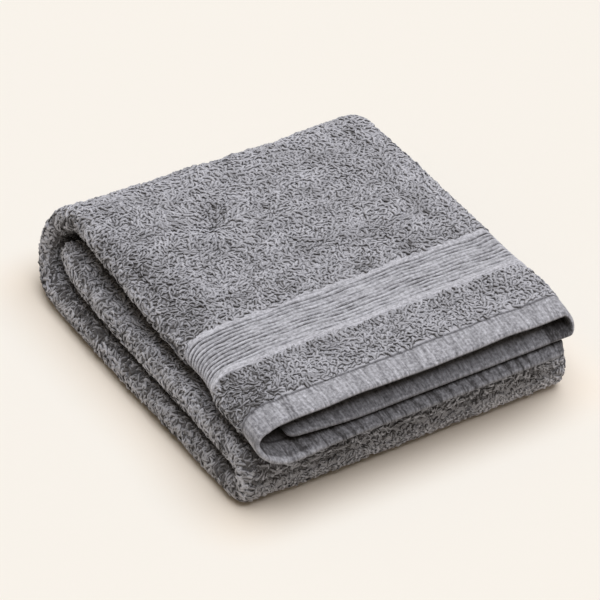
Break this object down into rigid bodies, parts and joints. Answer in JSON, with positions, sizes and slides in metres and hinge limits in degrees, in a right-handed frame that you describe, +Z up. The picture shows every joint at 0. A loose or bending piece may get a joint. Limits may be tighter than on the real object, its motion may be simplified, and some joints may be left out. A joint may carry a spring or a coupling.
{
  "type": "folded sports towel",
  "caption": "Grey terry sports towel folded into a flat square bundle, its hem and ribbed woven border showing at the front end.",
  "frame": {"origin": "bottom centre of the folded towel's bounding box", "axes": "+X along the hem, to the right when facing the hem end; +Y from the hem end to the back bend; +Z up"},
  "size_m": [0.1872, 0.2174, 0.0471],
  "materials": {
    "terry": "mid-grey cotton loop pile with a flat woven border and hem"
  },
  "bodies": {
    "root": {"towel": "terry"}
  },
  "joints": []
}
